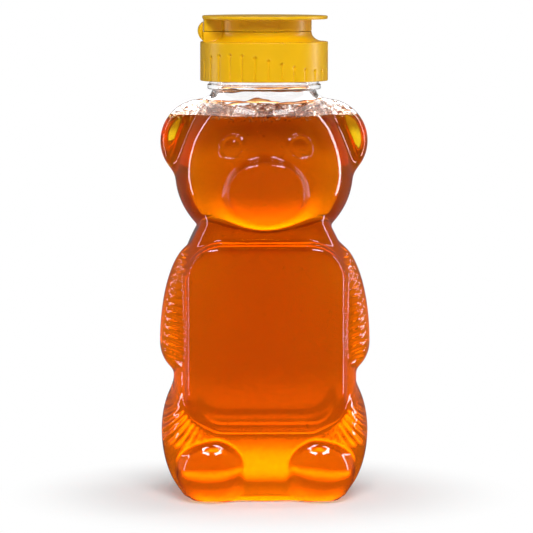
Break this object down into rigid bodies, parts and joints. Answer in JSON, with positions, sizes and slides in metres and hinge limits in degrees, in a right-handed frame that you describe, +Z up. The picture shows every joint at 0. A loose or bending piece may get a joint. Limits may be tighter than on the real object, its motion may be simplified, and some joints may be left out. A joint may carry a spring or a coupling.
{
  "type": "honey bear bottle",
  "caption": "Clear bear-shaped squeeze bottle filled with honey, closed by a yellow screw cap with a flip-top lid.",
  "frame": {"origin": "on the table, under the middle of the neck", "axes": "+Z up along the neck's axis; the bear looks along -Y; its ears lie along X and the lid's hinge is on the -X side"},
  "size_m": [0.0666, 0.0511, 0.1531],
  "materials": {
    "clear_plastic": "clear, glossy",
    "honey": "amber liquid, see-through",
    "cap_plastic": "yellow, semi-gloss moulded",
    "liner_foam": "white foam"
  },
  "bodies": {
    "bottle": {"bottle": "clear_plastic", "honey": "honey"},
    "liner": {"seal_liner": "liner_foam"},
    "cap": {"screw_cap": "cap_plastic", "hinge_strap": "cap_plastic"},
    "lid": {"flip_lid": "cap_plastic"}
  },
  "joints": [
    {"name": "cap_lift", "type": "slide", "parent": "bottle", "child": "liner", "axis": [0, 0, 1], "range_m": [0, 0.0127]},
    {"name": "cap_turn", "type": "hinge", "parent": "liner", "child": "cap", "pos_m": [0, 0, 0.1385], "axis": [0, 0, 1], "range_deg": [0, 1080]},
    {"name": "lid_hinge", "type": "hinge", "parent": "cap", "child": "lid", "pos_m": [-0.0206, 0, 0.14813], "axis": [0, -1, 0], "range_deg": [0, 150], "deforming": ["hinge_strap"]}
  ],
  "couplings": [
    {"joint": "cap_lift", "follows": "cap_turn", "m_per_rad": 0.0006737}
  ]
}
